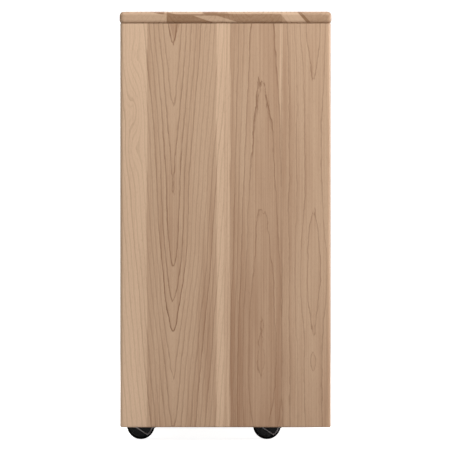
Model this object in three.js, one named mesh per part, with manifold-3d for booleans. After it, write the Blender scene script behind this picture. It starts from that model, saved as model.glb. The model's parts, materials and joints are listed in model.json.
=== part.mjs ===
// A rolling pantry cart in solid maple. Two side panels carry a bullnosed worktop, a fixed deck, three
// adjustable shelves with jar lips on steel pins, and a thin back panel. Four twin-wheel swivel casters
// are screwed under the deck, half hidden by the side panels, and the front two have brake levers.
// Units are millimetres. +Z is up, the open front faces -Y, and the origin is on the floor under the
// middle of the cart.

import * as THREE from "three";
import { mergeVertices } from "three/addons/utils/BufferGeometryUtils.js";
import Module from "manifold-3d";

const wasm = await Module();
wasm.setup();

// ---- Driving dimensions ----

const GAP = 0.3; // left between pieces that touch
const BOARD = 19; // thickness of the solid maple boards

const OVERALL_HEIGHT = 914.4;
const WORKTOP = { width: 613, depth: 451, thickness: 25.4, topRound: 9, bottomRound: 7, cornerRound: 8 };
const CARCASS = { width: 610, depth: 448, bottom: 30, top: OVERALL_HEIGHT - WORKTOP.thickness };
const PANEL_ROUND = { outside: 8, inside: 3, bottomOutside: 5, bottomInside: 2 };

const DECK_BOTTOM = 75; // also the height of the casters
const DADO_DEPTH = 6; // grooves in the side panels that hold the deck and the back panel
const BACK = { thickness: 6, setback: 12 }; // set in from the rear edge of the side panels
const LIP = { thickness: 16, rise: 24, setback: 3, edgeRound: 4, footRound: 2 }; // keeps jars on a shelf
const RAIL = { height: 45, edgeRound: 3 }; // the two rails under the worktop

const PIN_HOLES = { radius: 2.5, depth: 11, first: 254, pitch: 32, count: 16, columns: [-172, 160] };
const SHELF_HOLES = [2, 9, 14]; // which hole each shelf's pins are in, counted from the lowest
const SHELF_PLAY = { side: 1, rear: 2 };
const PIN = { insert: 10, flangeRadius: 4.2, flangeThickness: 1.5, reach: 12 };

const SCREW = { radius: 2.2, headRadius: 4.4, headHeight: 3, headRoom: 1, length: 36, point: 4 };
const SCREW_PLACE = { depthInRail: 25, fromSide: 70 };

const CASTER = { fromCentre: 208, frontSetback: 107, rearSetback: 70, trail: 28 };
const PLATE = { size: 48, thickness: 2.5, cornerRound: 6, holeSpacing: 35, holeRadius: 2.3 };
const KINGPIN = { radius: 4, flangeRadius: 7, flangeThickness: 2.2, bottom: 38 };
const WHEEL = { radius: 30, sides: 24, inner: 8, outer: 25.4, edge: 1.6, boreRadius: 3.4 };
const AXLE = { radius: 3, halfLength: 27.6 };
const HOOD = { radius: 34, wellRadius: 31.6, halfWidth: 28, wellOuter: 26, webHalf: 7.4 };
const COLUMN = { radius: 12, headroom: 1, floor: 4, underPin: 2 }; // the part of the hood round the kingpin
const NOSE = { radius: 32, angle: 188 }; // the front end of the hood's cap, degrees round the axle
const CHEEK = { radius: 26.5, frontAngle: 195, tipAngle: 238, tailAngle: 14.5 };
const LEVER = { pivotBack: 24, pivotUp: 28, hubRadius: 4, halfWidth: 12.2 };
const PEDAL = { reach: 18, tilt: 10, thickness: 3, tipRound: 1.4 };
const CAM = { reach: 6.2, halfThickness: 2.5, tipRound: 1, lockTurn: 25, room: 7.4 }; // meets the treads
const EAR = { inner: 12.8, outer: 15.8, radius: 4.6, pinRadius: 1.6, pinClearance: 0.35 };
const EAR_FOOT = { front: 7, frontDrop: 8, rear: 5, rearDrop: 11 }; // where an ear runs into the cap

const ARC_STEPS = 4; // straight pieces in each rounded corner of a board
const HOOD_STEPS = 11; // straight pieces in each arc of the hood
const EAR_STEPS = 8;
const SIDES = { tiny: 8, small: 12, column: 14, room: 16, well: 26 }; // faces round each turned shape
const OVERCUT = 1; // how far a cutter passes the face that it cuts
const AXLE_HEIGHT = WHEEL.radius * Math.cos(Math.PI / WHEEL.sides); // a flat of each wheel is on the floor

// ---- Materials ----

const maple = new THREE.MeshStandardMaterial({ color: 0xc9a27c, roughness: 0.5, metalness: 0 });
const mapleTop = new THREE.MeshStandardMaterial({ color: 0xbd9570, roughness: 0.45, metalness: 0 });
const plywood = new THREE.MeshStandardMaterial({ color: 0xcfab85, roughness: 0.6, metalness: 0 });
const zincSteel = new THREE.MeshStandardMaterial({ color: 0xb8bcc0, roughness: 0.35, metalness: 1 });
const blackNylon = new THREE.MeshStandardMaterial({ color: 0x161617, roughness: 0.35, metalness: 0 });
const wheelNylon = new THREE.MeshStandardMaterial({ color: 0x0d0d0e, roughness: 0.45, metalness: 0 });

// ---- Shared tools ----

const cart = new THREE.Group();
const X = new THREE.Vector3(1, 0, 0);
const Y = new THREE.Vector3(0, 1, 0);
const Z = new THREE.Vector3(0, 0, 1);
const radians = THREE.MathUtils.degToRad;

// A closed geometry as a solid that can be joined and cut.
function solidOf(geometry) {
  const bare = geometry.clone();
  bare.deleteAttribute("normal");
  bare.deleteAttribute("uv");
  const merged = mergeVertices(bare);
  return new wasm.Manifold(
    new wasm.Mesh({
      numProp: 3,
      vertProperties: merged.attributes.position.array,
      triVerts: new Uint32Array(merged.index.array),
    }),
  );
}

// A solid as a geometry that a mesh can show.
function geometryOf(solid) {
  const { vertProperties, triVerts } = solid.getMesh();
  const geometry = new THREE.BufferGeometry();
  geometry.setAttribute("position", new THREE.BufferAttribute(new Float32Array(vertProperties), 3));
  geometry.setIndex(new THREE.BufferAttribute(new Uint32Array(triVerts), 1));
  geometry.computeVertexNormals();
  return geometry;
}

// Adds a named piece to a group.
function addPiece(group, name, shape, material) {
  const geometry = shape.isBufferGeometry ? shape : geometryOf(shape);
  const mesh = new THREE.Mesh(geometry, material);
  mesh.name = name;
  group.add(mesh);
  return mesh;
}

// An outline with a rounded corner at each end of its box. Radii go round from the low corner.
function roundedOutline(u0, u1, v0, v1, [low, lowRight, high, highLeft]) {
  const outline = new THREE.Shape();
  const corner = (u, v, radius, from) => {
    if (radius) outline.absarc(u, v, radius, radians(from), radians(from + 90), false);
    else outline.lineTo(u, v);
  };
  outline.moveTo(u0 + low, v0);
  corner(u1 - lowRight, v0 + lowRight, lowRight, 270);
  corner(u1 - high, v1 - high, high, 0);
  corner(u0 + highLeft, v1 - highLeft, highLeft, 90);
  corner(u0 + low, v0 + low, low, 180);
  return outline;
}

// An outline pushed along +Z between two heights.
function extrudeUp(outline, z0, z1, steps = ARC_STEPS) {
  const options = { depth: z1 - z0, bevelEnabled: false, curveSegments: steps };
  return new THREE.ExtrudeGeometry(outline, options).translate(0, 0, z0);
}

// An outline in Y and Z pushed along +X.
function extrudeAcross(outline, x0, x1, steps = ARC_STEPS) {
  return extrudeUp(outline, x0, x1, steps).applyMatrix4(new THREE.Matrix4().makeBasis(Y, Z, X));
}

// An outline in Z and X pushed along +Y.
function extrudeBack(outline, y0, y1, steps = ARC_STEPS) {
  return extrudeUp(outline, y0, y1, steps).applyMatrix4(new THREE.Matrix4().makeBasis(Z, X, Y));
}

function box(x0, x1, y0, y1, z0, z1) {
  return extrudeUp(roundedOutline(x0, x1, y0, y1, [0, 0, 0, 0]), z0, z1);
}

// A cylinder along X, centred on a point.
function crossPin(radius, x0, x1, y, z, sides) {
  const geometry = new THREE.CylinderGeometry(radius, radius, x1 - x0, sides);
  return geometry.rotateZ(-Math.PI / 2).translate((x0 + x1) / 2, y, z);
}

// A profile of [radius, height] points turned round the vertical axis.
function turned(profile, sides, start = 0) {
  const points = profile.map(([radius, height]) => new THREE.Vector2(radius, height));
  return new THREE.LatheGeometry(points, sides, start).rotateX(Math.PI / 2);
}

// A board between its six faces, with the front and rear edges and the long top and bottom edges rounded.
function board(x, y, z, edges) {
  const plan = roundedOutline(x[0], x[1], y[0], y[1], edges.plan ?? [0, 0, 0, 0]);
  const side = roundedOutline(y[0], y[1], z[0], z[1], edges.side ?? [0, 0, 0, 0]);
  const end = roundedOutline(z[0], z[1], x[0], x[1], edges.end ?? [0, 0, 0, 0]);
  return solidOf(extrudeUp(plan, z[0], z[1]))
    .intersect(solidOf(extrudeAcross(side, x[0] - OVERCUT, x[1] + OVERCUT)))
    .intersect(solidOf(extrudeBack(end, y[0] - OVERCUT, y[1] + OVERCUT)));
}

// ---- Places worked out from the driving dimensions ----

const halfWidth = CARCASS.width / 2;
const insideHalf = halfWidth - BOARD;
const halfDepth = CARCASS.depth / 2;
const deckTop = DECK_BOTTOM + BOARD;
const backFront = halfDepth - BACK.setback - BACK.thickness;
const lipFront = -halfDepth + LIP.setback;
const lipRear = lipFront + LIP.thickness;
const railBottom = CARCASS.top - GAP - RAIL.height;
const railFront = lipFront;
const rearRailFront = backFront - GAP - BOARD;
const holeHeight = (index) => PIN_HOLES.first + PIN_HOLES.pitch * index;
const shelfBottoms = SHELF_HOLES.map((index) => holeHeight(index) + PIN_HOLES.radius + GAP);

// ---- Worktop and its screws ----

// The four places where a screw comes up through a rail.
function screwPlaces() {
  const x = insideHalf - SCREW_PLACE.fromSide;
  const rows = [railFront + BOARD / 2, rearRailFront + BOARD / 2];
  return rows.flatMap((y) => [-x, x].map((side) => [side, y]));
}

// The room that a screw and its head take in the rail and the worktop.
function screwHole([x, y]) {
  const shoulder = railBottom + SCREW_PLACE.depthInRail;
  const tip = shoulder + SCREW.length + GAP;
  const headHole = SCREW.headRadius + SCREW.headRoom;
  const profile = [
    [0, railBottom - OVERCUT],
    [headHole, railBottom - OVERCUT],
    [headHole, shoulder],
    [SCREW.radius + GAP, shoulder],
    [SCREW.radius + GAP, tip],
    [0, tip],
  ];
  return solidOf(turned(profile, SIDES.small).translate(x, y, 0));
}

function screw([x, y]) {
  const headTop = railBottom + SCREW_PLACE.depthInRail - GAP;
  const tip = headTop + SCREW.length;
  const profile = [
    [0, headTop - SCREW.headHeight],
    [SCREW.headRadius, headTop - SCREW.headHeight],
    [SCREW.headRadius, headTop],
    [SCREW.radius, headTop],
    [SCREW.radius, tip - SCREW.point],
    [0, tip],
  ];
  return turned(profile, SIDES.small).translate(x, y, 0);
}

function addWorktop() {
  const { width, depth, topRound, bottomRound, cornerRound } = WORKTOP;
  const corners = Array(4).fill(cornerRound);
  let slab = board([-width / 2, width / 2], [-depth / 2, depth / 2], [CARCASS.top, OVERALL_HEIGHT], {
    plan: corners,
    side: [bottomRound, bottomRound, topRound, topRound],
    end: [bottomRound, topRound, topRound, bottomRound],
  });
  for (const place of screwPlaces()) slab = slab.subtract(screwHole(place));
  addPiece(cart, "worktop", slab, mapleTop);
  const corner = ["front_left", "front_right", "rear_left", "rear_right"];
  screwPlaces().forEach((place, i) => addPiece(cart, `worktop_screw_${corner[i]}`, screw(place), zincSteel));
}

function addTopRails() {
  const rails = { front_top_rail: railFront, rear_top_rail: rearRailFront };
  const x = insideHalf - GAP;
  const edges = { side: [RAIL.edgeRound, RAIL.edgeRound, 0, 0] };
  for (const [name, y] of Object.entries(rails)) {
    let rail = board([-x, x], [y, y + BOARD], [railBottom, CARCASS.top - GAP], edges);
    for (const place of screwPlaces()) rail = rail.subtract(screwHole(place));
    addPiece(cart, name, rail, maple);
  }
}

// ---- Carcass ----

// One side panel. The shape is made on the right, where its outside faces +X, and mirrored for the left.
function sidePanel(side) {
  const { outside, inside, bottomOutside, bottomInside } = PANEL_ROUND;
  const top = CARCASS.top - GAP;
  let panel = board([insideHalf, halfWidth], [-halfDepth, halfDepth], [CARCASS.bottom, top], {
    plan: [inside, outside, outside, inside],
    side: [bottomOutside, bottomOutside, 0, 0],
    end: [bottomInside, 0, 0, bottomOutside],
  });
  const grooveFloor = insideHalf + DADO_DEPTH;
  const grooveBack = backFront + BACK.thickness + GAP;
  const deckGroove = [lipRear, grooveBack, DECK_BOTTOM - GAP, deckTop + GAP];
  const backGroove = [backFront - GAP, grooveBack, DECK_BOTTOM - GAP, top + OVERCUT];
  panel = panel.subtract(solidOf(box(insideHalf - OVERCUT, grooveFloor, ...deckGroove)));
  panel = panel.subtract(solidOf(box(insideHalf - OVERCUT, grooveFloor, ...backGroove)));
  for (const y of PIN_HOLES.columns) {
    for (let i = 0; i < PIN_HOLES.count; i += 1) {
      const radius = PIN_HOLES.radius + GAP;
      const ends = [insideHalf - OVERCUT, insideHalf + PIN_HOLES.depth];
      panel = panel.subtract(solidOf(crossPin(radius, ...ends, y, holeHeight(i), SIDES.tiny)));
    }
  }
  return side > 0 ? panel : panel.mirror([1, 0, 0]);
}

function addCarcass() {
  addPiece(cart, "left_side_panel", sidePanel(-1), maple);
  addPiece(cart, "right_side_panel", sidePanel(1), maple);

  const inGroove = insideHalf + DADO_DEPTH - GAP;
  const deckFront = lipRear + GAP;
  const deckBack = backFront - GAP;
  addPiece(cart, "deck", box(-inGroove, inGroove, deckFront, deckBack, DECK_BOTTOM, deckTop), maple);
  const back = [backFront, backFront + BACK.thickness];
  const backTop = CARCASS.top - GAP;
  addPiece(cart, "back_panel", box(-inGroove, inGroove, ...back, DECK_BOTTOM, backTop), plywood);
  addPiece(cart, "deck_lip", lip(insideHalf - GAP, DECK_BOTTOM), maple);
}

// The strip along the front of a shelf whose underside is at this height.
function lip(half, bottom) {
  const { rise, edgeRound, footRound } = LIP;
  const side = [footRound, 0, edgeRound, edgeRound];
  return board([-half, half], [lipFront, lipRear], [bottom, bottom + BOARD + rise], { side });
}

// ---- Adjustable shelves and their pins ----

// A pin pushed into the right side panel, with a flange against it and a nose under the shelf.
function shelfPin(side, y, z) {
  const { radius } = PIN_HOLES;
  const flangeFace = insideHalf - GAP;
  const stages = [
    [radius, flangeFace - PIN.flangeThickness - PIN.reach, flangeFace],
    [PIN.flangeRadius, flangeFace - PIN.flangeThickness, flangeFace],
    [radius, flangeFace - PIN.flangeThickness, insideHalf + PIN.insert],
  ];
  const room = PIN.flangeRadius + OVERCUT;
  const flangeCut = box(insideHalf - room, insideHalf, y - room, y + room, z + radius, z + room);
  const pin = stages
    .map(([r, x0, x1]) => solidOf(crossPin(r, x0, x1, y, z, SIDES.tiny)))
    .reduce((whole, stage) => whole.add(stage))
    .subtract(solidOf(flangeCut));
  return side > 0 ? pin : pin.mirror([1, 0, 0]);
}

function addShelves() {
  const x = insideHalf - SHELF_PLAY.side;
  shelfBottoms.forEach((bottom, i) => {
    const name = `shelf_${i + 1}`;
    const shelf = box(-x, x, lipRear + GAP, backFront - SHELF_PLAY.rear, bottom, bottom + BOARD);
    addPiece(cart, name, shelf, maple);
    addPiece(cart, `${name}_lip`, lip(x, bottom), maple);
    for (const [side, hand] of [[-1, "left"], [1, "right"]]) {
      PIN_HOLES.columns.forEach((y, row) => {
        const pin = shelfPin(side, y, holeHeight(SHELF_HOLES[i]));
        addPiece(cart, `${name}_pin_${row ? "rear" : "front"}_${hand}`, pin, zincSteel);
      });
    }
  });
}

// ---- Casters ----

// Everything below is made round the swivel axis, with the wheels trailing towards +Y.

function casterPlate() {
  const half = PLATE.size / 2;
  const outline = roundedOutline(-half, half, -half, half, Array(4).fill(PLATE.cornerRound));
  const hole = (x, y, radius) => {
    const path = new THREE.Path();
    path.absarc(x, y, radius, 0, 2 * Math.PI, true);
    outline.holes.push(path);
  };
  const offset = PLATE.holeSpacing / 2;
  for (const x of [-offset, offset]) for (const y of [-offset, offset]) hole(x, y, PLATE.holeRadius);
  hole(0, 0, KINGPIN.radius + GAP);
  const top = DECK_BOTTOM - GAP;
  return extrudeUp(outline, top - PLATE.thickness, top);
}

function kingpin() {
  const { radius, flangeRadius, flangeThickness, bottom } = KINGPIN;
  const flangeTop = DECK_BOTTOM - 2 * GAP - PLATE.thickness;
  const profile = [
    [0, bottom],
    [radius, bottom],
    [radius, flangeTop - flangeThickness],
    [flangeRadius, flangeTop - flangeThickness],
    [flangeRadius, flangeTop],
    [radius, flangeTop],
    [radius, DECK_BOTTOM - 2 * GAP],
    [0, DECK_BOTTOM - 2 * GAP],
  ];
  return turned(profile, SIDES.small);
}

// The hood seen from the side, round the axle: a cap over the wheels that comes down on the swivel side,
// cut back along a slanting line where the wheels show.
function hoodOutline() {
  const at = (radius, degrees) => [radius * Math.cos(radians(degrees)), radius * Math.sin(radians(degrees))];
  const outline = new THREE.Shape();
  outline.moveTo(...at(HOOD.radius, CHEEK.tailAngle));
  outline.absarc(0, 0, HOOD.radius, radians(CHEEK.tailAngle), radians(180), false);
  outline.lineTo(...at(NOSE.radius, NOSE.angle));
  outline.absarc(0, 0, CHEEK.radius, radians(CHEEK.frontAngle), radians(CHEEK.tipAngle), false);
  outline.closePath();
  return outline;
}

// The hood is one moulding: a web between the wheels, a cap over them and a cheek outside each.
function hood(hasBrake) {
  const { trail } = CASTER;
  const { halfWidth: half, wellOuter, webHalf, wellRadius } = HOOD;
  const { radius, headroom, floor, underPin } = COLUMN;
  const shell = extrudeAcross(hoodOutline(), -half, half, HOOD_STEPS).translate(0, trail, AXLE_HEIGHT);
  const columnTop = DECK_BOTTOM - 2 * GAP - PLATE.thickness - KINGPIN.flangeThickness - headroom;
  const columnBottom = KINGPIN.bottom - floor;
  const column = new THREE.CylinderGeometry(radius, radius, columnTop - columnBottom, SIDES.column);
  column.rotateX(Math.PI / 2).translate(0, 0, (columnTop + columnBottom) / 2);
  let body = solidOf(shell).add(solidOf(column));
  if (hasBrake) body = body.add(brakeEar(1)).add(brakeEar(-1));
  for (const side of [-1, 1]) {
    const [x0, x1] = side > 0 ? [webHalf, wellOuter] : [-wellOuter, -webHalf];
    body = body.subtract(solidOf(crossPin(wellRadius, x0, x1, trail, AXLE_HEIGHT, SIDES.well)));
  }
  const boreDepth = columnTop + OVERCUT - KINGPIN.bottom + underPin;
  const boreRadius = KINGPIN.radius + GAP;
  const bore = new THREE.CylinderGeometry(boreRadius, boreRadius, boreDepth, SIDES.small);
  bore.rotateX(Math.PI / 2).translate(0, 0, columnTop + OVERCUT - boreDepth / 2);
  body = body.subtract(solidOf(bore));
  const axleHole = [AXLE.radius + GAP, -half - OVERCUT, half + OVERCUT];
  body = body.subtract(solidOf(crossPin(...axleHole, trail, AXLE_HEIGHT, SIDES.small)));
  return hasBrake ? body.subtract(leverRoom()) : body;
}

const leverPivot = [CASTER.trail + LEVER.pivotBack, AXLE_HEIGHT + LEVER.pivotUp];

// An ear on the cap that holds one end of the brake lever's pin.
function brakeEar(side) {
  const [y, z] = leverPivot;
  const outline = new THREE.Shape();
  outline.moveTo(y - EAR_FOOT.front, z - EAR_FOOT.frontDrop);
  outline.lineTo(y + EAR_FOOT.rear, z - EAR_FOOT.rearDrop);
  outline.absarc(y, z, EAR.radius, 0, radians(180), false);
  outline.closePath();
  const [x0, x1] = side > 0 ? [EAR.inner, EAR.outer] : [-EAR.outer, -EAR.inner];
  return solidOf(extrudeAcross(outline, x0, x1, EAR_STEPS));
}

// The slot through the cap where the lever's hub and cam turn, and the holes for its pin.
function leverRoom() {
  const hub = crossPin(CAM.room, -EAR.inner, EAR.inner, ...leverPivot, SIDES.room);
  const pinHole = [EAR.pinRadius + EAR.pinClearance, -EAR.outer - OVERCUT, EAR.outer + OVERCUT];
  return solidOf(hub).add(solidOf(crossPin(...pinHole, ...leverPivot, SIDES.small)));
}

// The lever at rest, unlocked. Its cam comes square to the wheels after the lever is pressed down.
function brakeLever() {
  const { pivotBack, pivotUp, hubRadius, halfWidth: half } = LEVER;
  const [y, z] = leverPivot;
  // An arm from the pivot, with a rounded tip, turned by an angle in radians.
  const arm = (reach, halfThickness, tipRound, angle) => {
    const outline = roundedOutline(0, reach, -halfThickness, halfThickness, [0, tipRound, tipRound, 0]);
    return solidOf(extrudeAcross(outline, -half, half).rotateX(angle).translate(0, y, z));
  };
  const camAngle = Math.atan2(-pivotUp, -pivotBack) + radians(CAM.lockTurn);
  const pinEnd = EAR.outer - GAP;
  return solidOf(crossPin(hubRadius, -half, half, y, z, SIDES.small))
    .add(arm(PEDAL.reach, PEDAL.thickness / 2, PEDAL.tipRound, radians(PEDAL.tilt)))
    .add(arm(CAM.reach, CAM.halfThickness, CAM.tipRound, camAngle))
    .add(solidOf(crossPin(EAR.pinRadius, -pinEnd, pinEnd, y, z, SIDES.small)));
}

// A wheel between two distances from the hood's middle.
function wheel(side) {
  const { radius, sides, inner, outer, edge, boreRadius } = WHEEL;
  const profile = [
    [boreRadius, inner],
    [radius - edge, inner],
    [radius, inner + edge],
    [radius, outer - edge],
    [radius - edge, outer],
    [boreRadius, outer],
    [boreRadius, inner],
  ];
  const blank = turned(profile, sides, Math.PI / sides).rotateY(Math.PI / 2);
  if (side < 0) blank.rotateZ(Math.PI);
  return blank.translate(0, CASTER.trail, AXLE_HEIGHT);
}

function addCaster(name, x, y, hasBrake) {
  const group = new THREE.Group();
  group.position.set(x, y, 0);
  cart.add(group);
  addPiece(group, `${name}_caster_plate`, casterPlate(), zincSteel);
  addPiece(group, `${name}_kingpin`, kingpin(), zincSteel);
  addPiece(group, `${name}_hood`, hood(hasBrake), blackNylon);
  const rod = [AXLE.radius, -AXLE.halfLength, AXLE.halfLength];
  const axle = crossPin(...rod, CASTER.trail, AXLE_HEIGHT, SIDES.small);
  addPiece(group, `${name}_axle`, axle, zincSteel);
  addPiece(group, `${name}_wheel_left`, wheel(-1), wheelNylon);
  addPiece(group, `${name}_wheel_right`, wheel(1), wheelNylon);
  if (hasBrake) addPiece(group, `${name}_brake_lever`, brakeLever(), blackNylon);
}

function addCasters() {
  const rows = { front: -halfDepth + CASTER.frontSetback, rear: halfDepth - CASTER.rearSetback };
  for (const [row, y] of Object.entries(rows)) {
    addCaster(`${row}_left`, -CASTER.fromCentre, y, row === "front");
    addCaster(`${row}_right`, CASTER.fromCentre, y, row === "front");
  }
}

addWorktop();
addTopRails();
addCarcass();
addShelves();
addCasters();

export default cart;
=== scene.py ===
"""A rolling pantry cart in solid maple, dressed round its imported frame.

Lengths are in millimetres throughout and turn to metres when a piece is made. The cart stands on the
floor at Z = 0 with its open front facing -Y.
"""

import json
import logging
import math
import random
from collections.abc import Callable, Iterable
from dataclasses import dataclass, field
from enum import Enum, auto
from typing import ClassVar

import bmesh
import bpy
from mathutils import Matrix, Vector


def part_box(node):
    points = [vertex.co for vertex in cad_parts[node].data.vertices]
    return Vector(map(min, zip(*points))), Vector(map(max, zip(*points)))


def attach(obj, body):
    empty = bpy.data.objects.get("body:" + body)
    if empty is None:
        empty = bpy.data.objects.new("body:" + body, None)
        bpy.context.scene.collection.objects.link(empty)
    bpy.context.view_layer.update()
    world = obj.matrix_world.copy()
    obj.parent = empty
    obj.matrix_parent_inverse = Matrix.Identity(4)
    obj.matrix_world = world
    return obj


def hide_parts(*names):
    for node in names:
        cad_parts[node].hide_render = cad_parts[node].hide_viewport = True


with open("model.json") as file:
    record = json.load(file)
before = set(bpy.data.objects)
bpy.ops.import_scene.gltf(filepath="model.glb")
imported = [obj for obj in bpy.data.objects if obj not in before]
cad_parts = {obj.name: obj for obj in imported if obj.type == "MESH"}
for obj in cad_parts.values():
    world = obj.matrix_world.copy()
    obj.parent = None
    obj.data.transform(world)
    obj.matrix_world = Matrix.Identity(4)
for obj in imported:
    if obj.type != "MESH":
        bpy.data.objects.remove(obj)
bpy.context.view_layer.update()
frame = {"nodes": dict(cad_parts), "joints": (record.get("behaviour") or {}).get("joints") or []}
LOG = logging.getLogger("pantry_cart")

METRE = 1000.0
CART = "cart"
Point = tuple[float, float, float]
Outline = list[tuple[float, float]]

LOWEST: Point = (-math.inf,) * 3
HIGHEST: Point = (math.inf,) * 3
SHARP_TURN = math.radians(20)
SHADED_SHARP = math.radians(38)
NEAR = 1e-3


def cad_box(node: str) -> tuple[Vector, Vector]:
    """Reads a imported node's box.

    Args:
        node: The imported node's name.

    Returns:
        Its lowest and highest corners in millimetres.
    """
    low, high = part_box(node)
    return low * METRE, high * METRE


def joint_place(name: str) -> Vector:
    """Finds where a packed joint turns.

    Args:
        name: The joint's name.

    Returns:
        A point on its axis, in millimetres.
    """
    joint = next(each for each in frame["joints"] if each["name"] == name)
    return Vector(joint["pos_m"]) * METRE


# ---------------------------------------------------------------- shapes


class Axis(Enum):
    """The row axis that a turned or pushed shape follows, as the axes of its (u, v, along) space."""

    X = (1, 2, 0)
    Y = (2, 0, 1)
    Z = (0, 1, 2)

    def point(self, u: float, v: float, along: float) -> Point:
        """Places a point of the shape's own space in the row frame."""
        spot = [0.0, 0.0, 0.0]
        for axis, value in zip(self.value, (u, v, along)):
            spot[axis] = value
        return tuple(spot)


def arc(centre: tuple[float, float], radius: float, start: float, stop: float, steps: int) -> Outline:
    """Steps round part of a circle.

    Args:
        centre: The circle's middle.
        radius: Its radius.
        start: The first angle, in degrees.
        stop: The last angle, in degrees.
        steps: How many straight pieces to use.

    Returns:
        The points from start to stop.
    """
    turns = [math.radians(start + (stop - start) * i / steps) for i in range(steps + 1)]
    return [(centre[0] + radius * math.cos(t), centre[1] + radius * math.sin(t)) for t in turns]


def inset(outline: Outline, distance: float) -> Outline:
    """Draws an anticlockwise outline again, a little way inside itself.

    Args:
        outline: The corners.
        distance: How far in to go.

    Returns:
        As many corners, moved in.
    """
    least_spread = 0.6  # keeps a sharp corner from shooting far inwards
    moved = []
    for i, (u, v) in enumerate(outline):
        before, after = outline[i - 1], outline[(i + 1) % len(outline)]
        into = Vector((before[1] - v, u - before[0])).normalized()
        out_of = Vector((v - after[1], after[0] - u)).normalized()
        middle = (into + out_of).normalized()
        shift = middle * distance / max(middle.dot(into), least_spread)
        moved.append((u + shift.x, v + shift.y))
    return moved


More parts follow.
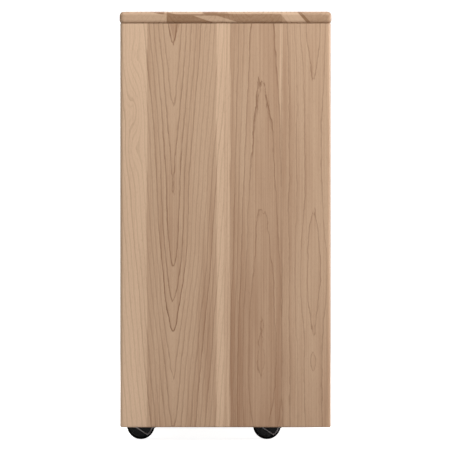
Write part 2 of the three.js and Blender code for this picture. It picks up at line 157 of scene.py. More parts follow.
class Solid:
    """A closed mesh being shaped, in millimetres in the row frame."""

    def __init__(self) -> None:
        """Starts with nothing in it."""
        self.mesh = bmesh.new()

    @classmethod
    def box(cls, low: Iterable[float], high: Iterable[float]) -> "Solid":
        """Makes a box between two corners."""
        low, high = Vector(low), Vector(high)
        solid = cls()
        place = Matrix.Translation((low + high) / 2) @ Matrix.Diagonal((*(high - low), 1))
        bmesh.ops.create_cube(solid.mesh, size=1, matrix=place)
        return solid

    @classmethod
    def prism(cls, outline: Outline, axis: Axis, start: float, stop: float) -> "Solid":
        """Pushes an outline along an axis.

        Args:
            outline: The corners as (u, v), anticlockwise when seen against the axis.
            axis: The direction of the push.
            start: Where it begins along the axis.
            stop: Where it ends.

        Returns:
            The closed prism.
        """
        solid = cls()
        ends = [[solid.mesh.verts.new(axis.point(u, v, a)) for u, v in outline] for a in (start, stop)]
        solid.mesh.faces.new(ends[0][::-1])
        solid.mesh.faces.new(ends[1])
        for i in range(len(outline)):
            j = (i + 1) % len(outline)
            solid.mesh.faces.new((ends[0][i], ends[0][j], ends[1][j], ends[1][i]))
        return solid

    @classmethod
    def turned(cls, profile: Outline, axis: Axis, centre: Iterable[float], sides: int = 48) -> "Solid":
        """Turns a profile round an axis, as on a lathe.

        Args:
            profile: Points of (radius, distance along the axis), from one end to the other. A radius
                of 0 closes that end; otherwise the last point joins the first, as in a ring.
            axis: The lathe's axis.
            centre: A point that the axis goes through.
            sides: How many faces go round.

        Returns:
            The closed turned shape.
        """
        solid = cls()
        rings = []
        for radius, along in profile:
            if radius == 0:
                rings.append([solid.mesh.verts.new(axis.point(0, 0, along))] * sides)
                continue
            turns = [2 * math.pi * i / sides for i in range(sides)]
            spots = [axis.point(radius * math.cos(t), radius * math.sin(t), along) for t in turns]
            rings.append([solid.mesh.verts.new(spot) for spot in spots])
        pairs = list(zip(rings, rings[1:]))
        if profile[0][0] and profile[-1][0]:
            pairs.append((rings[-1], rings[0]))
        for lower, upper in pairs:
            for i in range(sides):
                j = (i + 1) % sides
                corners = dict.fromkeys((lower[i], lower[j], upper[j], upper[i]))
                if len(corners) > 2:
                    solid.mesh.faces.new(corners)
        bmesh.ops.recalc_face_normals(solid.mesh, faces=solid.mesh.faces)
        return solid.moved(centre)

    @classmethod
    def bead(cls, outline: Outline, along: float, radius: float, sides: int = 10) -> "Solid":
        """Sweeps a round bead along a closed outline in Y and Z.

        Args:
            outline: The corners as (y, z), anticlockwise when seen against X.
            along: Where the bead's middle is on X.
            radius: The bead's radius.
            sides: How many faces go round its section.

        Returns:
            The closed ring.
        """
        solid = cls()
        rings = []
        for i, (y, z) in enumerate(outline):
            before, after = outline[i - 1], outline[(i + 1) % len(outline)]
            out = Vector((0, after[1] - before[1], before[0] - after[0])).normalized() * radius
            middle, sideways = Vector((along, y, z)), Vector((radius, 0, 0))
            turns = [2 * math.pi * k / sides for k in range(sides)]
            ring = [middle + out * math.cos(t) + sideways * math.sin(t) for t in turns]
            rings.append([solid.mesh.verts.new(spot) for spot in ring])
        for here, there in zip(rings, rings[1:] + rings[:1]):
            for k in range(sides):
                m = (k + 1) % sides
                solid.mesh.faces.new((here[k], here[m], there[m], there[k]))
        bmesh.ops.recalc_face_normals(solid.mesh, faces=solid.mesh.faces)
        return solid

    def moved(self, offset: Iterable[float]) -> "Solid":
        """Slides the solid by an offset."""
        bmesh.ops.translate(self.mesh, verts=self.mesh.verts, vec=Vector(offset))
        return self

    def tilted(self, degrees: float, axis: Axis, centre: Iterable[float]) -> "Solid":
        """Turns the solid round a line through a point.

        Args:
            degrees: The angle, by the right-hand rule.
            axis: The direction of the line.
            centre: A point on it.

        Returns:
            The same solid.
        """
        turn = Matrix.Rotation(math.radians(degrees), 3, axis.name)
        bmesh.ops.rotate(self.mesh, verts=self.mesh.verts, cent=Vector(centre), matrix=turn)
        return self

    def mirrored(self) -> "Solid":
        """Reflects the solid left to right, through the plane X = 0."""
        bmesh.ops.scale(self.mesh, verts=self.mesh.verts, vec=(-1, 1, 1))
        bmesh.ops.reverse_faces(self.mesh, faces=self.mesh.faces)
        return self

    def sharp_edges(self) -> list[tuple[bmesh.types.BMEdge, Vector, Vector]]:
        """Lists the edges that the surface turns sharply at, each with its middle and its direction."""
        found = []
        for edge in self.mesh.edges:
            if edge.calc_face_angle(0) > SHARP_TURN:
                first, second = (vert.co for vert in edge.verts)
                found.append((edge, (first + second) / 2, (second - first).normalized()))
        return found

    def bevel(self, edges: list[bmesh.types.BMEdge], radius: float, steps: int) -> "Solid":
        """Rounds some edges to a radius, with a number of faces across."""
        form = {"offset": radius, "segments": steps, "profile": 0.5}
        form |= {"affect": "EDGES", "clamp_overlap": True}
        bmesh.ops.bevel(self.mesh, geom=edges, **form)
        return self

    def round_edges(
        self, axis: Axis, radius: float, steps: int, above: Point = LOWEST, below: Point = HIGHEST
    ) -> "Solid":
        """Rounds the edges that run along an axis.

        Args:
            axis: The axis that they run along.
            radius: The radius of the rounding.
            steps: How many faces it has across.
            above: The lowest corner of the space that the edges' middles are in.
            below: The highest corner of that space.

        Returns:
            The same solid.
        """
        along = axis.value[2]
        picked = [
            edge
            for edge, middle, way in self.sharp_edges()
            if abs(way[along]) > 0.9 and all(a < m < b for a, m, b in zip(above, middle, below))
        ]
        return self.bevel(picked, radius, steps)

    def round_rims(self, axis: Axis, radius: float, steps: int = 3, ends: Iterable[float] = ()) -> "Solid":
        """Rounds the whole rim of the flat ends that face along an axis.

        Args:
            axis: The axis that the ends face along.
            radius: The radius of the rounding.
            steps: How many faces it has across.
            ends: Where the ends are along the axis. With none given, both ends are rounded.

        Returns:
            The same solid.
        """
        across = axis.value[2]
        places = [vert.co[across] for vert in self.mesh.verts]
        levels = list(ends) or [min(places), max(places)]
        picked = [
            edge
            for edge, middle, way in self.sharp_edges()
            if abs(way[across]) < NEAR and any(abs(middle[across] - level) < NEAR for level in levels)
        ]
        return self.bevel(picked, radius, steps)

    def add(self, other: "Solid") -> "Solid":
        """Puts another solid's faces beside this one's, with no join worked out."""
        spare = bpy.data.meshes.new("spare")
        other.mesh.to_mesh(spare)
        self.mesh.from_mesh(spare)
        bpy.data.meshes.remove(spare)
        return self

    def combine(self, operation: str, others: Iterable["Solid"]) -> "Solid":
        """Joins, cuts or crosses this solid with others.

        Args:
            operation: UNION, DIFFERENCE or INTERSECT.
            others: The solids to combine with, one after another.

        Returns:
            This solid, reshaped.
        """
        stand_in = self.stand_in("stand_in")
        tools = [other.stand_in("tool") for other in others]
        for tool in tools:
            modifier = stand_in.modifiers.new(operation.lower(), "BOOLEAN")
            modifier.operation, modifier.object, modifier.solver = operation, tool, "EXACT"
        bpy.context.view_layer.update()
        evaluated = stand_in.evaluated_get(bpy.context.evaluated_depsgraph_get())
        shaped = bpy.data.meshes.new_from_object(evaluated)
        self.mesh.clear()
        self.mesh.from_mesh(shaped)
        bpy.data.meshes.remove(shaped)
        for spare in (stand_in, *tools):
            bpy.data.meshes.remove(spare.data)
        bmesh.ops.remove_doubles(self.mesh, verts=self.mesh.verts, dist=1e-4)
        return self

    def cut(self, *others: "Solid") -> "Solid":
        """Takes other solids away from this one."""
        return self.combine("DIFFERENCE", others)

    def join(self, *others: "Solid") -> "Solid":
        """Unites other solids with this one."""
        return self.combine("UNION", others)

    def stand_in(self, name: str) -> bpy.types.Object:
        """Makes a bare object of the solid, still in millimetres."""
        made = bpy.data.objects.new(name, bpy.data.meshes.new(name))
        self.mesh.to_mesh(made.data)
        bpy.context.scene.collection.objects.link(made)
        return made

    def piece(
        self,
        name: str,
        body: str,
        finish: "Finish",
        replaces: Iterable[str] = (),
        extra: tuple["Finish", Callable[[Vector], bool]] | None = None,
    ) -> bpy.types.Object:
        """Makes a finished piece of the cart out of the solid.

        Args:
            name: The piece's name.
            body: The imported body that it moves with.
            finish: What it is made of.
            replaces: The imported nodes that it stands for.
            extra: A second finish, and a test of a face's centre in millimetres that picks its faces.

        Returns:
            The piece.
        """
        made = self.stand_in(name)
        made.data.materials.append(finish.material())
        if extra:
            made.data.materials.append(extra[0].material())
            for face in made.data.polygons:
                face.material_index = int(extra[1](face.center))
        made.data.transform(Matrix.Scale(1 / METRE, 4))
        made.data.polygons.foreach_set("use_smooth", [True] * len(made.data.polygons))
        made.data.set_sharp_from_angle(angle=SHADED_SHARP)
        weighted = made.modifiers.new("even_normals", "WEIGHTED_NORMAL")
        weighted.keep_sharp = True
        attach(made, body)
        nodes = list(replaces)
        if nodes:
            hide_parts(*nodes)
        faces = len(made.data.polygons)
        LOG.info("%s on %s, %d faces, for %s", name, body, faces, nodes or "no node")
        return made


# ---------------------------------------------------------------- node trees


def linear(code: str) -> tuple[float, float, float, float]:
    """Turns an sRGB hex colour to linear.

    Args:
        code: The colour, such as #c2a488.

    Returns:
        Red, green, blue and an alpha of 1.
    """
    parts = [int(code[i : i + 2], 16) / 255 for i in (1, 3, 5)]
    return (*(p / 12.92 if p <= 0.04045 else ((p + 0.055) / 1.055) ** 2.4 for p in parts), 1.0)


class Step(Enum):
    """A step of arithmetic that a node tree can work out."""

    ADD = auto()
    SUBTRACT = auto()
    MULTIPLY = auto()
    DIVIDE = auto()
    POWER = auto()
    SQRT = auto()
    EXPONENT = auto()
    ABSOLUTE = auto()
    FLOOR = auto()
    FRACT = auto()
    MAXIMUM = auto()
    LESS_THAN = auto()
    GREATER_THAN = auto()
    EASE = auto()  # goes smoothly from 0 to 1, or between two more values, as the signal crosses a range


class Signal:
    """A value that flows through a node tree. Arithmetic on it adds to the tree."""

    def __init__(self, socket: bpy.types.NodeSocket) -> None:
        """Holds the socket that the value leaves from."""
        self.socket = socket

    def other(self, name: str) -> "Signal":
        """Gives another output of the same node."""
        return Signal(self.socket.node.outputs[name])

    def then(self, step: Step, *values: "Signal | float") -> "Signal":
        """Works out a step of arithmetic.

        Args:
            step: What to work out.
            *values: What it uses besides this signal.

        Returns:
            The result.
        """
        kind, settings = "Math", {"operation": step.name}
        if step is Step.EASE:
            kind, settings = "MapRange", {"interpolation_type": "SMOOTHSTEP"}
        return add_node(self.socket.id_data, kind, settings, dict(enumerate((self, *values))))

    def __add__(self, value: "Signal | float") -> "Signal":
        """Adds."""
        return self.then(Step.ADD, value)

    def __sub__(self, value: "Signal | float") -> "Signal":
        """Subtracts."""
        return self.then(Step.SUBTRACT, value)

    def __mul__(self, value: "Signal | float") -> "Signal":
        """Multiplies."""
        return self.then(Step.MULTIPLY, value)

    def __truediv__(self, value: "Signal | float") -> "Signal":
        """Divides."""
        return self.then(Step.DIVIDE, value)

    def feed(self, node: bpy.types.Node, name: str) -> None:
        """Links the signal to an input of a node."""
        self.socket.id_data.links.new(self.socket, node.inputs[name])


Source = Signal | float | tuple
NO_SETTINGS: dict = {}


def add_node(
    tree: bpy.types.NodeTree,
    kind: str,
    settings: dict = NO_SETTINGS,
    inputs: dict[int | str, Source] = NO_SETTINGS,
    output: int | str = 0,
) -> Signal:
    """Adds a node to a tree.

    Args:
        tree: The tree.
        kind: The node's type, without its ShaderNode prefix.
        settings: Its properties by name.
        inputs: What goes into its sockets, by name or number: a signal to link, or a value.
        output: Which of its outputs to give back.

    Returns:
        That output.
    """
    node = tree.nodes.new("ShaderNode" + kind)
    for name, value in settings.items():
        setattr(node, name, value)
    for name, value in inputs.items():
        if isinstance(value, Signal):
            tree.links.new(value.socket, node.inputs[name])
        else:
            node.inputs[name].default_value = value
    return Signal(node.outputs[output])


# ---------------------------------------------------------------- finishes


class Finish:
    """Something that a piece is made of. Each finish makes its material once."""

    name: str
    slot: str
    made: ClassVar[dict["Finish", bpy.types.Material]] = {}

    def material(self) -> bpy.types.Material:
        """Gives the finish's material, making it the first time."""
        if self not in Finish.made:
            material = bpy.data.materials.new(self.name)
            material.use_nodes = True
            shader = material.node_tree.nodes["Principled BSDF"]
            self.dress(material.node_tree, shader)
            Finish.made[self] = material
        return Finish.made[self]

    def dress(self, tree: bpy.types.NodeTree, shader: bpy.types.Node) -> None:
        """Builds the finish's nodes in front of its shader."""
        raise NotImplementedError


@dataclass(frozen=True)
class Moulded(Finish):
    """Injection-moulded plastic or a cast tyre, black right through.

    The mould leaves a faint texture. A real one is about 0.2 mm across, and is drawn coarser, to show.
    """

    name: str
    slot: str
    colour: str
    roughness: float
    texture_mm: float
    relief_mm: float
    gloss: float = 0.3

    def dress(self, tree: bpy.types.NodeTree, shader: bpy.types.Node) -> None:
        """Builds a dark gloss that is broken up by fine texture and faint handling marks."""
        place = add_node(tree, "TexCoord", output="Object")
        fine = {"Vector": place, "Scale": METRE / self.texture_mm, "Detail": 2.0}
        grain = add_node(tree, "TexNoise", inputs=fine)
        marks = add_node(tree, "TexNoise", inputs={"Vector": place, "Scale": METRE / 14, "Detail": 5.0})
        shader.inputs["Base Color"].default_value = linear(self.colour)
        shader.inputs["Specular IOR Level"].default_value = self.gloss
        marks.then(Step.EASE, 0.35, 0.7, self.roughness, self.roughness + 0.1).feed(shader, "Roughness")
        relief = {"Height": grain, "Distance": self.relief_mm / METRE, "Strength": 1.0}
        add_node(tree, "Bump", inputs=relief).feed(shader, "Normal")


@dataclass(frozen=True)
class ZincPlate(Finish):
    """Mild steel with bright zinc plating, which is pale, softly mirrored and slightly mottled.

    The mottle and the drawing marks are drawn coarser than real ones, to show.
    """

    name: str = "zinc_plated_steel"
    slot: str = "zinc_steel"
    pale: str = "#c9ccce"
    dull: str = "#a3a7a8"

    def dress(self, tree: bpy.types.NodeTree, shader: bpy.types.Node) -> None:
        """Builds a satin metal with a crystalline mottle 3 mm across and fine drawing marks."""
        place = add_node(tree, "TexCoord", output="Object")
        mottle = add_node(tree, "TexVoronoi", inputs={"Vector": place, "Scale": METRE / 3})
        grit = add_node(tree, "TexNoise", inputs={"Vector": place, "Scale": METRE / 0.4, "Detail": 3.0})
        colours = {0: mottle, 6: linear(self.pale), 7: linear(self.dull)}
        tint = add_node(tree, "Mix", {"data_type": "RGBA"}, colours, output=2)
        tint.feed(shader, "Base Color")
        shader.inputs["Metallic"].default_value = 1.0
        grit.then(Step.EASE, 0.3, 0.7, 0.28, 0.42).feed(shader, "Roughness")
        relief = {"Height": grit, "Distance": 0.02 / METRE, "Strength": 0.6}
        add_node(tree, "Bump", inputs=relief).feed(shader, "Normal")


class Grain(Enum):
    """How a board's grain lies: the object axes that go across, through and along it."""

    UPRIGHT_SIDE = ("Y", "X", "Z")
    UPRIGHT_BACK = ("X", "Y", "Z")
    LEVEL_FLAT = ("Y", "Z", "X")
    LEVEL_UPRIGHT = ("Z", "Y", "X")


@dataclass(frozen=True)
class Swelling:
    """A place where the tree's growth bulged or dipped, which the saw leaves as an oval or a bend.

    across and along say where it is, and rings how many growth rings it lifts the surface by.
    """

    across: float
    along: float
    half_width: float
    half_length: float
    rings: float


@dataclass(frozen=True)
class PaleBand:
    """A strip of pale sapwood along the grain, from low to high across the board.

    It fades out below fade_below, where that is given.
    """

    low: float
    high: float
    fade_below: float | None = None


@dataclass(frozen=True)
class Streak:
    """A mineral streak that runs along the grain inside a board, and shows as a slant on its end.

    across and depth are where its middle is, with depth measured from the face. slope is how far it
    shifts across for each millimetre deeper. tone is how much darker it is, or paler below 0.
    """

    across: float
    depth: float
    half_width: float
    half_depth: float
    slope: float
    tone: float


@dataclass(frozen=True)
class DarkWedge:
    """A dark patch inside an arch, drawn to a point at its foot. It is half_width wide at its head."""

    across: float
    foot: float
    head: float
    half_width: float
    tone: float


@dataclass(frozen=True)
class Leaf:
    """One flat-sawn board of a glued-up panel.

    start is where it begins across the panel. heart is the line of the tree's centre across the
    panel, and heart_depth how far it lies behind the face: a deep heart draws broad arches, and a
    shallow one draws sharp ones. ring is the growth in a year. taper is in rings a metre along the
    grain, and its sign says which way the arches point. phase shifts the rings by part of a year.
    tone is how dark the leaf is, and foot_tone how much darker it gets towards its low end.
    side_lines is how strong the rings are away from the heart, where they crowd together.
    """

    start: float
    heart: float
    heart_depth: float
    ring: float
    taper: float
    phase: float = 0.0
    tone: float = 0.0
    foot_tone: float = 0.0
    side_lines: float = 0.8
    swellings: tuple[Swelling, ...] = ()
    pale: tuple[PaleBand, ...] = ()
    streaks: tuple[Streak, ...] = ()
    wedges: tuple[DarkWedge, ...] = ()


SAP_SHARE = 0.18  # how much of an ordinary leaf's width is sapwood


def mixed_leaves(start: float, stop: float, count: int, seed: int) -> tuple[Leaf, ...]:
    """Picks ordinary flat-sawn leaves for a panel.

    Args:
        start: Where the panel begins across the grain.
        stop: Where it ends.
        count: How many leaves are glued side by side.
        seed: Which boards come off the pile.

    Returns:
        The leaves in order.
    """
    pile = random.Random(seed)
    width = (stop - start) / count
    leaves = []
    for i in range(count):
        low = start + i * width
        heart = low + width * pile.uniform(0.2, 0.8)
        swellings = []
        for _ in range(2):
            across, along = heart + pile.uniform(-20, 20), pile.uniform(-250, 250)
            swellings.append(Swelling(across, along, 25, 120, pile.uniform(-1.2, 1.2)))
        sap = low + width * pile.choice((0.0, 1 - SAP_SHARE))
        leaves.append(
            Leaf(
                start=low,
                heart=heart,
                heart_depth=pile.uniform(8, 60),
                ring=pile.uniform(7, 12),
                taper=pile.choice((-1, 1)) * pile.uniform(3, 9),
                tone=pile.uniform(-0.5, 0.8),
                swellings=tuple(swellings),
                pale=(PaleBand(sap, sap + width * SAP_SHARE),),
            )
        )
    return tuple(leaves)


@dataclass(frozen=True)
class Maple(Finish):
    """Hard maple, flat-sawn, sanded and given a clear matt lacquer.

    It is a close-grained pale wood: the growth rings show as fine darker lines that nest in arches, the
    sapwood is paler, and small rays fleck the face. End grain drinks the lacquer and comes out darker.
    """

    name: str
    slot: str
    grain: Grain
    leaves: tuple[Leaf, ...]
    face: float = 0.0
    inward: float = 1.0
    shade: float = 0.0
    sapwood: str = "#d3b395"
    heartwood: str = "#be9e81"
    dark_heart: str = "#946c4e"
    ring_line: str = "#775030"
    end_grain: str = "#84603f"
    glue_line: str = "#7d5a3d"
    roughness: float = 0.5
    line_strength: float = 0.74
    false_ring_strength: float = 0.12
    fleck_strength: float = 0.2
    joint_strength: float = 0.3
    relief_mm: float = 0.05
    # Sizes of the patterns, in millimetres across and along the grain. A real ring's edge is about 1 mm
    # wide, a ray 0.1 mm by 1 mm and a pore 0.1 mm across, so these are drawn coarser, to show at all.
    line_width: float = 3.6
    fleck_mm: tuple[float, float] = (0.55, 7.0)
    pore_mm: tuple[float, float] = (0.7, 0.7)
    streak_mm: tuple[float, float] = (2.6, 260.0)
    mottle_mm: tuple[float, float] = (6.0, 6.0)
    cloud_mm: tuple[float, float] = (45.0, 420.0)
    waver_mm: tuple[float, float] = (60.0, 90.0)
    slow_ripple_mm: tuple[float, float] = (26.0, 120.0)
    quick_ripple_mm: tuple[float, float] = (6.0, 22.0)
    wander_mm: tuple[float, float] = (100.0, 260.0)

    def across_leaves(self, across: Signal, value: str) -> Signal:
        """Steps one of the leaves' values from leaf to leaf.

        Args:
            across: The distance across the panel.
            value: The value's name.

        Returns:
            The value of the leaf at each place.
        """
        total = across * 0.0 + getattr(self.leaves[0], value)
        for before, after in zip(self.leaves, self.leaves[1:]):
            change = getattr(after, value) - getattr(before, value)
            if abs(change) > 1e-9:
                total = total + across.then(Step.GREATER_THAN, after.start) * change
        return total

    def inside(self, across: Signal, low: float, high: float, soft: float) -> Signal:
        """Gives 1 between two places across the panel and 0 outside, with soft edges."""
        rise = across.then(Step.EASE, low - soft, low + soft)
        return rise * across.then(Step.EASE, high - soft, high + soft, 1.0, 0.0)

    def patches(
        self, tree: bpy.types.NodeTree, place: tuple, size: tuple[float, float], detail: float
    ) -> Signal:
        """Makes a random pattern drawn out along the grain.

        Args:
            tree: The material's tree.
            place: The signals across, through and along the grain, in millimetres.
            size: The pattern's size across and along the grain, in millimetres.
            detail: How many finer layers are in it.

        Returns:
            A signal about 0, from -0.5 to 0.5.
        """
        across, along = size
        spot = {i: part / length for i, (part, length) in enumerate(zip(place, (across, across, along)))}
        vector = add_node(tree, "CombineXYZ", inputs=spot)
        noise = add_node(tree, "TexNoise", inputs={"Vector": vector, "Scale": 1.0, "Detail": detail})
        return noise - 0.5

    def rings(self, tree: bpy.types.NodeTree, place: tuple) -> tuple[Signal, Signal]:
        """Counts the growth rings from the tree's heart out to each place.

        Args:
            tree: The material's tree.
            place: The signals across, through and along the grain.

        Returns:
            The count, and how fast it rises along the face, in rings a millimetre.
        """
        across, through, along = place
        wander = self.patches(tree, (across * 0.0, through * 0.0, along), self.wander_mm, 1.0) * 8.0
        sideways = across - self.across_leaves(across, "heart") - wander
        behind = self.across_leaves(across, "heart_depth")
        depth = (through - self.face) * self.inward + behind
        reach = (sideways * sideways + depth * depth).then(Step.SQRT)
        ring = self.across_leaves(across, "ring")
        count = (reach - behind) / ring
        taper = self.across_leaves(across, "taper") / METRE
        least = 0.002  # keeps the slope above nothing on the heart line
        slope = (sideways / reach / ring).then(Step.ABSOLUTE) + taper.then(Step.ABSOLUTE) + least
        count = count + taper * along
        count = count + self.across_leaves(across, "phase")
        ends = [leaf.start for leaf in self.leaves[1:]] + [1e4]
        for leaf, end in zip(self.leaves, ends):
            here = across.then(Step.GREATER_THAN, leaf.start) * across.then(Step.LESS_THAN, end)
            for bulge in leaf.swellings:
                u = (across - bulge.across) / bulge.half_width
                v = (along - bulge.along) / bulge.half_length
                hill = (u * u + v * v) * -1.0
                count = count + hill.then(Step.EXPONENT) * here * bulge.rings
        ripples = self.patches(tree, place, self.slow_ripple_mm, 2.0) * 0.65
        ripples = ripples + self.patches(tree, place, self.quick_ripple_mm, 3.0) * 0.3
        above_nothing = 40.0  # rings below 0 would count backwards
        return count + ripples + above_nothing, slope

    def marks(self, place: tuple, waver: Signal) -> tuple[Signal, Signal]:
        """Places the leaves' own colour, streaks, wedges and sapwood.

        Args:
            place: The signals across, through and along the grain.
            waver: How far the edges of the marks stray across the grain.

        Returns:
            How dark the wood is, and where it is sapwood, from 0 to 1.
        """
        across, through, along = place
        deep = (through - self.face) * self.inward
        sap = across * 0.0
        foot = self.across_leaves(across, "foot_tone") * along.then(Step.EASE, 150, 750, 1.0, 0.0)
        tone = self.across_leaves(across, "tone") + self.shade + foot
        for leaf in self.leaves:
            for band in leaf.pale:
                strip = self.inside(across + waver, band.low, band.high, 2.0)
                if band.fade_below is not None:
                    strip = strip * along.then(Step.EASE, band.fade_below - 90, band.fade_below + 90)
                sap = sap.then(Step.MAXIMUM, strip)
            for streak in leaf.streaks:
                shift = (deep - streak.depth) * streak.slope + streak.across
                beside = ((across - shift + waver) / streak.half_width).then(Step.ABSOLUTE)
                below = ((deep - streak.depth) / streak.half_depth).then(Step.ABSOLUTE)
                core = beside.then(Step.EASE, 0.9, 1.1, 1.0, 0.0)
                tone = tone + core * below.then(Step.EASE, 0.8, 1.2, 1.0, 0.0) * streak.tone
            for wedge in leaf.wedges:
                half = (along - wedge.foot) * (wedge.half_width / (wedge.head - wedge.foot))
                room = half - (across - wedge.across).then(Step.ABSOLUTE)
                tone = tone + room.then(Step.EASE, -0.8, 1.2) * wedge.tone
        return tone, sap

    def layered(
        self, tree: bpy.types.NodeTree, ground: str, coats: Iterable[tuple[Signal, str | Signal]]
    ) -> Signal:
        """Lays coats of colour over a ground, one after another.

        Args:
            tree: The material's tree.
            ground: The ground's hex colour.
            coats: How much of each coat there is, and its hex colour or a colour signal.

        Returns:
            The colour that shows.
        """
        shown: Source = linear(ground)
        for amount, colour in coats:
            over = colour if isinstance(colour, Signal) else linear(colour)
            shown = add_node(tree, "Mix", {"data_type": "RGBA"}, {0: amount, 6: shown, 7: over}, output=2)
        return shown

    def dress(self, tree: bpy.types.NodeTree, shader: bpy.types.Node) -> None:
        """Builds the wood from its rings, sapwood, streaks, flecks, glue lines and end grain."""
        coordinates = add_node(tree, "TexCoord", output="Object")
        split = add_node(tree, "SeparateXYZ", inputs={0: coordinates})
        place = tuple(split.other(axis) * METRE for axis in self.grain.value)
        across, _, along = place
        rings, slope = self.rings(tree, place)
        year, season = rings.then(Step.FLOOR), rings.then(Step.FRACT)
        vigour = add_node(tree, "TexWhiteNoise", {"noise_dimensions": "1D"}, {"W": year})
        to_edge = (season * -1.0 + 0.97) / slope
        late_growth = to_edge.then(Step.EASE, 0.0, self.line_width, 1.0, 0.0)
        late_growth = late_growth * to_edge.then(Step.EASE, -1.0, 0.0)
        ring_edge = late_growth.then(Step.POWER, 1.5) * (vigour * 0.8 + 0.5)
        beside_heart = (across - self.across_leaves(across, "heart")).then(Step.ABSOLUTE)
        false_ring = (rings * 2.0 + 0.35).then(Step.FRACT).then(Step.EASE, 0.65, 0.95).then(Step.POWER, 2.0)
        false_ring = false_ring * beside_heart.then(Step.EASE, 24, 45)
        crowding = self.across_leaves(across, "side_lines")
        strength = (crowding - 1.0) * beside_heart.then(Step.EASE, 16, 34) + 1.0
        streaks = self.patches(tree, place, self.streak_mm, 3.0)
        cloud = self.patches(tree, place, self.cloud_mm, 2.0)
        flecks = self.patches(tree, place, self.fleck_mm, 1.0).then(Step.EASE, 0.08, 0.22)
        pores = self.patches(tree, place, self.pore_mm, 2.0)
        mottle = self.patches(tree, place, self.mottle_mm, 3.0)
        tone, sap = self.marks(place, self.patches(tree, place, self.waver_mm, 2.0) * 6.0)
        darkness = tone * 0.35 + cloud * 0.7 + streaks * 0.8 + (vigour - 0.5) * 0.16 + season * 0.1
        lines = ring_edge * strength * self.line_strength + false_ring * self.false_ring_strength
        lines = lines * (sap * -0.45 + 1.0)
        normal = add_node(tree, "SeparateXYZ", inputs={0: coordinates.other("Normal")})
        cut_across = normal.other(self.grain.value[2]).then(Step.ABSOLUTE).then(Step.EASE, 0.55, 0.9)
        end_tone = (tone * 0.8 + ring_edge * 0.2 + pores * 0.8 + mottle * 0.6).then(Step.EASE, -0.2, 1.3)
        joints = across * 0.0
        for leaf in self.leaves[1:]:
            near = (across - leaf.start).then(Step.ABSOLUTE)
            joints = joints.then(Step.MAXIMUM, near.then(Step.EASE, 0.15, 0.6, 1.0, 0.0))
        coats = [
            ((darkness + 0.12).then(Step.EASE, -0.1, 1.0), self.dark_heart),
            (sap * (darkness * -0.5 + 0.8), self.sapwood),
            (lines, self.ring_line),
            (flecks * self.fleck_strength, self.ring_line),
            (cut_across, self.layered(tree, self.heartwood, [(end_tone, self.end_grain)])),
            (joints * self.joint_strength, self.glue_line),
        ]
        self.layered(tree, self.heartwood, coats).feed(shader, "Base Color")
        sheen = ring_edge * 0.06 + flecks * 0.05 + streaks * 0.1 + cut_across * 0.14 + self.roughness
        sheen.feed(shader, "Roughness")
        relief = streaks * 0.3 - ring_edge * 0.35 - flecks * 0.4 - joints * 0.6 + pores * cut_across
        bump = {"Height": relief, "Distance": self.relief_mm / METRE, "Strength": 0.8}
        add_node(tree, "Bump", inputs=bump).feed(shader, "Normal")
        shader.inputs["Coat Weight"].default_value = 0.12
        shader.inputs["Coat Roughness"].default_value = 0.35


# Nylon from a polished mould: a deep black with crisp highlights.
GLOSS_NYLON = Moulded("black_nylon_gloss", "black_nylon", "#050506", 0.12, 0.9, 0.002, 0.2)
# The same nylon painted pale grey on the bead that stands out past each cheek: a painted highlight for
# light caught along the cheek's edge.
PAINTED_HIGHLIGHT_NYLON = Moulded("black_nylon_scuffed_grey", "black_nylon", "#b4b1b4", 0.3, 1.2, 0.01, 0.5)
# Nylon from a plainly finished mould: a softer black.
WHEEL_NYLON = Moulded("black_nylon_wheel", "wheel_nylon", "#101011", 0.3, 0.7, 0.008)
# Soft polyurethane: almost no shine at all.
TREAD = Moulded("black_polyurethane_tread", "wheel_nylon", "#030303", 0.5, 0.5, 0.02, 0.15)
ZINC = ZincPlate()


# ---------------------------------------------------------------- boards


@dataclass
class Board:
    """A board with its long edges eased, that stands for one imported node."""

    node: str
    finish: Finish
    corner_radius: float = 1.2
    rim_radius: float = 1.2
    corner_axis: Axis = Axis.X

    def shape(self) -> Solid:
        """Makes the board: first the four edges along its corner axis are rounded, then both end rims."""
        solid = Solid.box(*cad_box(self.node)).round_edges(self.corner_axis, self.corner_radius, 5)
        return solid.round_rims(self.corner_axis, min(self.rim_radius, self.corner_radius * 0.9))

    def build(self) -> bpy.types.Object:
        """Makes the board's piece."""
        return self.shape().piece(self.node + "_board", CART, self.finish, [self.node])


@dataclass
class Lip(Board):
    """A jar lip: a strip glued along a shelf's front edge, with its top edges well rounded."""

    top_radius: float = 4.0
    foot_radius: float = 1.6
    end_radius: float = 0.8

    def shape(self) -> Solid:
        """Makes the strip with a soft top and a crisp foot."""
        low, high = cad_box(self.node)
        middle = (low.z + high.z) / 2
        solid = Solid.box(low, high)
        solid.round_edges(Axis.X, self.top_radius, 7, above=(-math.inf, -math.inf, middle))
        solid.round_edges(Axis.X, self.foot_radius, 4, below=(math.inf, low.y + 1, middle))
        return solid.round_rims(Axis.X, self.end_radius)


